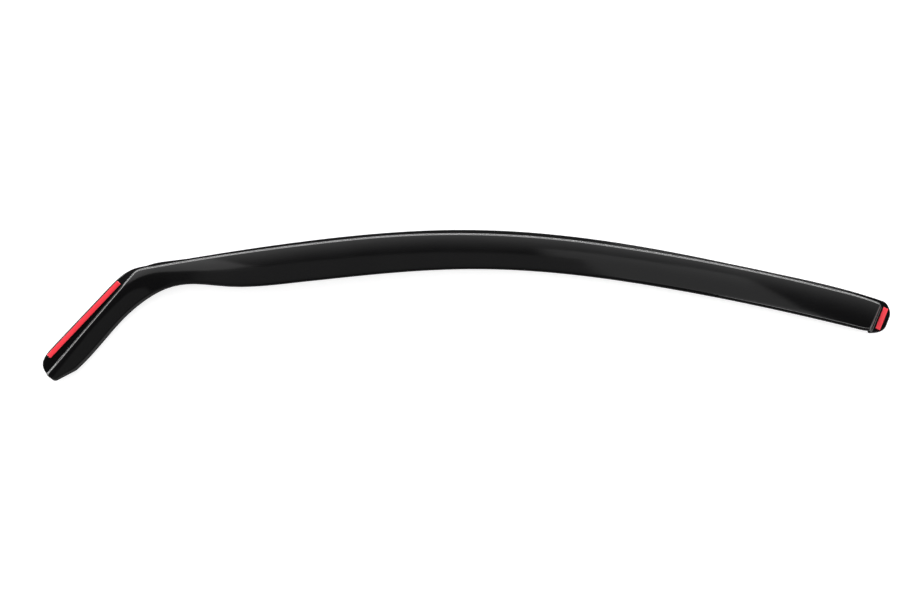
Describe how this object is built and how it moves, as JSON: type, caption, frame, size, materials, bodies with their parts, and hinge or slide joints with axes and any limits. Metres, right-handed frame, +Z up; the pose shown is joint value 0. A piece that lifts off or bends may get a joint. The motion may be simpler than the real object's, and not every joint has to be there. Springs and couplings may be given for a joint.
{
  "type": "window rain deflector",
  "caption": "Long arched window rain deflector formed from dark glossy acrylic, with a stepped visor, a pillar flange, an end tab and foam tape with red release film.",
  "frame": {"origin": "middle of the plan box, on the plane of the flange's underside", "axes": "+X from the pillar tip to the rear tab, +Y from the visor's free edge to the roof flange, +Z up from the flange's underside to the outer face"},
  "size_m": [0.945, 0.1735, 0.0161],
  "materials": {
    "acrylic": "polished near-black tinted acrylic",
    "tape_foam": "matt black closed-cell foam",
    "release_film": "smooth red release film"
  },
  "bodies": {
    "root": {"deflector_shell": "acrylic", "front_tape_foam": "tape_foam", "front_tape_liner": "release_film", "rear_tape_foam": "tape_foam", "rear_tape_liner": "release_film"}
  },
  "joints": []
}
